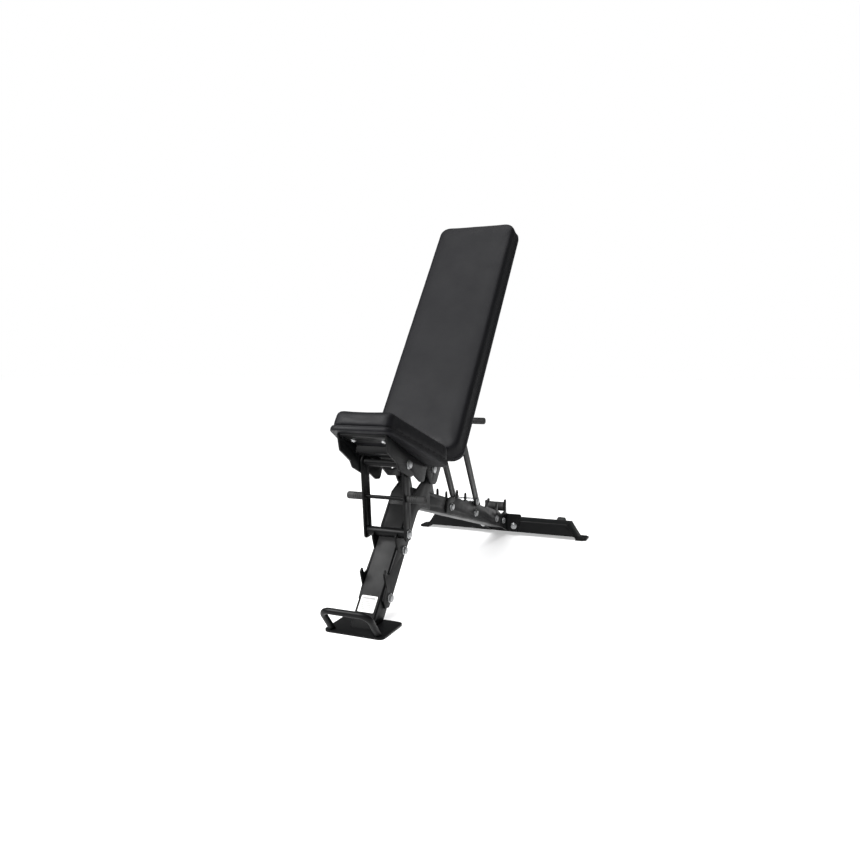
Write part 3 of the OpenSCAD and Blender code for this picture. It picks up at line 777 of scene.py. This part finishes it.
def hex_head():
    """A unit hexagon head, from its bearing face at x = 0 to x = 1, with a chamfered crown."""
    return lathe("hex_head", [(0, 0), (0, 1), (0.82, 1), (0.97, 0.87), (1, 0.8), (1, 0)], steps=6)


def washer():
    """A unit flat washer with a bore and softened edges."""
    return lathe("washer", [(0, 0.55), (0, 0.97), (0.2, 1), (0.8, 1), (1, 0.96), (1, 0.55), (0, 0.55)],
                 steps=40)


def crown():
    """A unit turned end: the rounded tip of a bolt with three turns of thread."""
    points = [(0, 0), (0, 0.94)]
    for turn in range(3):
        x = 0.12 + 0.24 * turn
        points += [(x, 1), (x + 0.12, 0.86)]
    return lathe("thread_end", points + [(0.84, 0.95), (1, 0.78), (1, 0)], steps=32)


def socket_head():
    """A unit button head with a hexagon socket."""
    return lathe("button_head", [(0, 0), (0, 1), (0.25, 1), (0.6, 0.9), (0.9, 0.68), (1, 0.48),
                                 (0.96, 0.44), (0.4, 0.42), (0.36, 0)], steps=36)


def shank(radius, x0, x1):
    return lathe("shank", [(x0, 0), (x0, radius), (x1, radius), (x1, 0)], steps=32)


def facing(direction, place, length, radius):
    """Matrix that sets a unit shape, made along +X, at a place facing a direction."""
    turn = Vector((1, 0, 0)).rotation_difference(Vector(direction)).to_matrix().to_4x4()
    return Matrix.Translation(place) @ turn @ Matrix.Diagonal((length, radius, radius, 1))


TIP = 0.0022  # how far a bolt's end stands out of its nut
CROWN = 0.0004  # how deep the crown of a head sits in it
LONG_BOLT = 0.04  # solids longer than this are cross bolts with a head and a nut
# each node of bolts: its shank's radius as a share of its head's, and the height of its heads
BOLTS = {
    "frame_bolts": (0.6, 0.007), "pivot_bolt": (0.615, 0.008), "seat_strut_bolt": (0.6, 0.007),
    "back_strut_bolt": (0.6, 0.007), "back_pin": (1.1, 0.006), "seat_strut_screws": (0.5, 0.007),
    "wheel_axles": (0.62, 0.004),
}
SCREW_HEAD = 0.004
SCREW_WASHER = 0.001


class BENCH_OT_hardware(bpy.types.Operator):
    """Make the bolts, nuts, washers, pins and screws"""

    bl_idname = "bench.hardware"
    bl_label = "Bolts and screws"

    def execute(self, context):
        flat = context.scene.bench_metal.washer
        masters = {"head": hex_head(), "washer": washer(), "tip": crown(), "button": socket_head()}

        def place(kind, direction, spot, length, radius):
            return copy_piece(masters[kind], "part", facing(direction, spot, length, radius))

        def headed(direction, face, height, radius, tip=False):
            """Washer and head, and a bolt's tip through a nut, on a face."""
            away = Vector(direction)
            depth = height - (TIP if tip else 0)
            made = [place("washer", away, face, flat, radius * 1.18),
                    place("head", away, face + away * flat, depth - flat, radius)]
            if tip:
                made.append(place("tip", away, face + away * depth, TIP, radius * 0.58))
            else:
                made.append(place("head", away, face + away * (height - CROWN), 3 * CROWN, radius * 0.5))
            return made

        for node, (ratio, height) in BOLTS.items():
            made = []
            for low, high in islands(node):
                middle = (low + high) / 2
                size = high - low
                if size.x > LONG_BOLT:
                    radius = max(size.y, size.z) / 2
                    for way, x in ((1, high.x - height), (-1, low.x + height)):
                        made += headed((way, 0, 0), Vector((x, middle.y, middle.z)), height, radius, way < 0)
                    rod = shank(radius * ratio, low.x + height, high.x - height)
                    rod.data.transform(Matrix.Translation((0, middle.y, middle.z)))
                    made.append(rod)
                else:
                    face = Vector((middle.x, low.y + height, middle.z))
                    made += headed((0, -1, 0), face, height, size.x / 2)
            piece = join(made, node + "_fitted")
            finish(piece, BODY[node], "zinc", material("zinc"), node)
        for node in ("seat_screws", "back_screws"):
            turn = pad_frame(node.replace("screws", "pad"))
            down = (0, 0, -1)
            made = []
            for low, high in islands(node, turn):
                middle = (low + high) / 2
                radius = (high.x - low.x) / 2
                face = Vector((middle.x, middle.y, low.z + SCREW_HEAD))
                made.append(place("washer", down, face, SCREW_WASHER, radius * 1.1))
                made.append(place("button", down, face, SCREW_HEAD * 1.1, radius))
            piece = join(made, node + "_fitted")
            piece.data.transform(turn.inverted())
            finish(piece, BODY[node], "zinc", material("zinc"), node)
        for master in masters.values():
            remove(master)
        return {"FINISHED"}


# ---- Rubber, plastic and sticker ----


GRIP_GROOVES = 4
STOP_GROOVES = 9
TYRE_GROOVES = 3
AXLE = 0.0051  # radius of the hole for the wheel axle
DISH = 0.004  # how deep the hub is dished


def groove(x, radius, depth, slope, floor, width):
    """Points of a groove in a turned outline: down at x, along its floor and up again."""
    return [(x, radius), (x + slope, radius - depth), (x + floor, radius - depth), (x + width, radius)]


class BENCH_OT_grips(bpy.types.Operator):
    """Make the ribbed sleeves on the strut handles and the rubber stop"""

    bl_idname = "bench.grips"
    bl_label = "Grips and stop"

    def execute(self, context):
        for node in ("seat_strut_grips", "back_strut_grips"):
            made = []
            for low, high in islands(node):
                outward = 1 if low.x + high.x > 0 else -1
                middle = (low + high) / 2
                radius = (high.z - low.z) / 2
                x0, x1 = (low.x, high.x) if outward > 0 else (high.x, low.x)
                span = abs(x1 - x0)
                points = [(0, 0), (0, radius * 0.9), (0.0015, radius)]
                for rib in range(GRIP_GROOVES):
                    points += groove(span * (0.16 + 0.12 * rib), radius, 0.0009, 0.0008, 0.0022, 0.003)
                points += [(span - 0.004, radius), (span - 0.0015, radius * 0.93), (span, radius * 0.76),
                           (span, radius * 0.45), (span - 0.0015, radius * 0.4), (span - 0.0015, 0)]
                made.append(lathe("grip", [(x0 + outward * x, r) for x, r in points], (middle.y, middle.z)))
            finish(join(made, node + "_moulded"), BODY[node], "grip_rubber", material("grip"), node)
        low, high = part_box("end_stop")
        middle = (low + high) / 2
        radius = (high.z - low.z) / 2
        points = [(low.x, 0), (low.x, radius * 0.88), (low.x + 0.002, radius)]
        for rib in range(STOP_GROOVES):
            x = low.x + 0.008 + rib * (high.x - low.x - 0.016) / STOP_GROOVES
            points += groove(x, radius, 0.001, 0.001, 0.002, 0.003)
        points += [(high.x - 0.002, radius), (high.x, radius * 0.88), (high.x, 0)]
        stop = lathe("end_stop_roll", points, (middle.y, middle.z), 56)
        finish(stop, "frame", "grip_rubber", material("grip"), "end_stop")
        return {"FINISHED"}


class BENCH_OT_wheels(bpy.types.Operator):
    """Make the grooved tyres and dished hubs of the transport wheels"""

    bl_idname = "bench.wheels"
    bl_label = "Transport wheels"

    def execute(self, context):
        for side in SIDES:
            body = "wheel_" + side
            low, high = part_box("tyre_" + side)
            hub_low, hub_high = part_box("hub_" + side)
            middle = (low + high) / 2
            radius = (high.z - low.z) / 2
            bore = (hub_high.z - hub_low.z) / 2
            x0, x1 = low.x, high.x
            points = [(x0 + 0.001, bore), (x0, bore + 0.002), (x0, radius - 0.005),
                      (x0 + 0.0015, radius - 0.0015), (x0 + 0.005, radius)]
            for rib in range(TYRE_GROOVES):
                x = x0 + (x1 - x0) * (0.27 + 0.2 * rib)
                points += groove(x, radius, 0.0012, 0.0006, 0.0018, 0.0024)
            points += [(x1 - 0.005, radius), (x1 - 0.0015, radius - 0.0015), (x1, radius - 0.005),
                       (x1, bore + 0.002), (x1 - 0.001, bore), (x0 + 0.001, bore)]
            tyre = lathe(f"tyre_{side}_moulded", points, (middle.y, middle.z), 64)
            finish(tyre, body, "wheel_tyre", material("tyre"), "tyre_" + side)
            points = [(x0, AXLE), (x0, AXLE + 0.003), (x0 + DISH, AXLE + 0.004), (x0 + DISH, bore - 0.003),
                      (x0 + 0.0005, bore - 0.0015), (x0 + 0.0005, bore), (x1 - 0.0005, bore),
                      (x1 - 0.0005, bore - 0.0015), (x1 - DISH, bore - 0.003), (x1 - DISH, AXLE + 0.004),
                      (x1, AXLE + 0.003), (x1, AXLE), (x0, AXLE)]
            hub = lathe(f"hub_{side}_moulded", points, (middle.y, middle.z), 56)
            finish(hub, body, "wheel_hub", material("hub"), "hub_" + side)
        return {"FINISHED"}


STICKER_CORNER = 0.003


class BENCH_OT_sticker(bpy.types.Operator):
    """Cut the blank sticker on the leg with rounded corners"""

    bl_idname = "bench.sticker"
    bl_label = "Sticker"

    def execute(self, context):
        piece = copy_node("leg_label", "leg_sticker")
        edit(piece, "EDGE")
        shortest = min(e.calc_length() for e in bmesh.from_edit_mesh(piece.data).edges)
        choose(piece, "edges", lambda e: e.calc_length() < shortest * 1.5)
        bpy.ops.mesh.bevel(offset=STICKER_CORNER, segments=6, affect="EDGES", clamp_overlap=False)
        leave_edit()
        finish(piece, "frame", "label", material("sticker"), "leg_label")
        return {"FINISHED"}


# ---- Stage ----


def aim(thing, place, target):
    thing.location = place
    thing.rotation_euler = (Vector(target) - Vector(place)).to_track_quat("-Z", "Y").to_euler()


SUN_FROM = (-1.0, -1.9, 3.9)
SUN_WIDTH = math.radians(60)
LAMP_TARGET = (0, 0.05, 0.45)
# each softbox: name, place, size, power and whether it casts a shadow
SOFTBOXES = (
    ("Front softbox", (-1.15, -1.65, 2.1), 1.2, 85, False),
    ("Side softbox", (2.6, 0.2, 1.6), 1.0, 3, True),
    ("Top softbox", (0.1, 0.6, 2.9), 1.8, 18, True),
)


class BENCH_OT_stage(bpy.types.Operator):
    """Set up the floor, the room light, the lamps and the camera"""

    bl_idname = "bench.stage"
    bl_label = "Stage"

    def execute(self, context):
        s = context.scene.bench_stage
        deselect()
        bpy.ops.mesh.primitive_plane_add(size=60)
        floor = context.object
        floor.name = floor.data.name = "studio_floor"
        floor.data.materials.append(material("floor"))

        world = bpy.data.worlds.new("Room")
        context.scene.world = world
        world.use_nodes = True
        tree = world.node_tree
        tree.nodes.clear()
        seen, light, mix, out, ray = (tree.nodes.new("ShaderNode" + kind) for kind in (
            "Background", "Background", "MixShader", "OutputWorld", "LightPath"))
        seen.inputs["Color"].default_value = (1, 1, 1, 1)
        light.inputs["Color"].default_value = (0.97, 0.985, 1.0, 1)
        light.inputs["Strength"].default_value = s.sky
        tree.links.new(ray.outputs["Is Camera Ray"], mix.inputs["Fac"])
        tree.links.new(light.outputs[0], mix.inputs[1])
        tree.links.new(seen.outputs[0], mix.inputs[2])
        tree.links.new(mix.outputs[0], out.inputs["Surface"])

        bpy.ops.object.light_add(type="SUN")
        sun = context.object
        sun.name = "Broad key"
        aim(sun, SUN_FROM, (0, 0, 0.3))
        sun.data.energy = s.key
        sun.data.angle = SUN_WIDTH
        for name, place, size, power, shadow in SOFTBOXES:
            bpy.ops.object.light_add(type="AREA")
            lamp = context.object
            lamp.name = name
            aim(lamp, place, LAMP_TARGET)
            lamp.data.shape = "SQUARE"
            lamp.data.size = size
            lamp.data.energy = power
            lamp.data.use_shadow = shadow

        bpy.ops.object.camera_add()
        camera = context.object
        camera.name = "Camera"
        aim(camera, s.camera, s.target)
        camera.data.lens = s.lens
        camera.data.sensor_width = 36
        camera.data.shift_y = s.shift
        context.scene.camera = camera
        context.scene.view_settings.view_transform = "Standard"
        return {"FINISHED"}


# ---- Panel and registration ----

OPERATORS = (
    BENCH_OT_back_pad, BENCH_OT_seat_pad, BENCH_OT_boards, BENCH_OT_frame_steel, BENCH_OT_seat_steel,
    BENCH_OT_back_steel, BENCH_OT_round_bars, BENCH_OT_hardware, BENCH_OT_grips, BENCH_OT_wheels,
    BENCH_OT_sticker, BENCH_OT_stage,
)
SETTINGS = {
    "bench_pads": BenchPads, "bench_metal": BenchMetal, "bench_colours": BenchColours,
    "bench_stage": BenchStage,
}


class BENCH_PT_panel(bpy.types.Panel):
    """Lists the settings and the pieces of the bench"""

    bl_idname = "BENCH_PT_panel"
    bl_label = "Weight bench"
    bl_space_type = "VIEW_3D"
    bl_region_type = "UI"
    bl_category = "Bench"

    def draw(self, context):
        for name in SETTINGS:
            box = self.layout.box()
            group = getattr(context.scene, name)
            for key in group.__annotations__:
                box.prop(group, key)
        for operator in OPERATORS:
            self.layout.operator(operator.bl_idname)


def register():
    for cls in (*SETTINGS.values(), *OPERATORS, BENCH_PT_panel):
        bpy.utils.register_class(cls)
    for name, group in SETTINGS.items():
        setattr(bpy.types.Scene, name, PointerProperty(type=group))


def unregister():
    for name in SETTINGS:
        delattr(bpy.types.Scene, name)
    for cls in reversed((*SETTINGS.values(), *OPERATORS, BENCH_PT_panel)):
        bpy.utils.unregister_class(cls)


def main():
    register()
    for operator in OPERATORS:
        group, name = operator.bl_idname.split(".")
        getattr(getattr(bpy.ops, group), name)()
    bpy.context.view_layer.update()


if __name__ == "__main__":
    main()
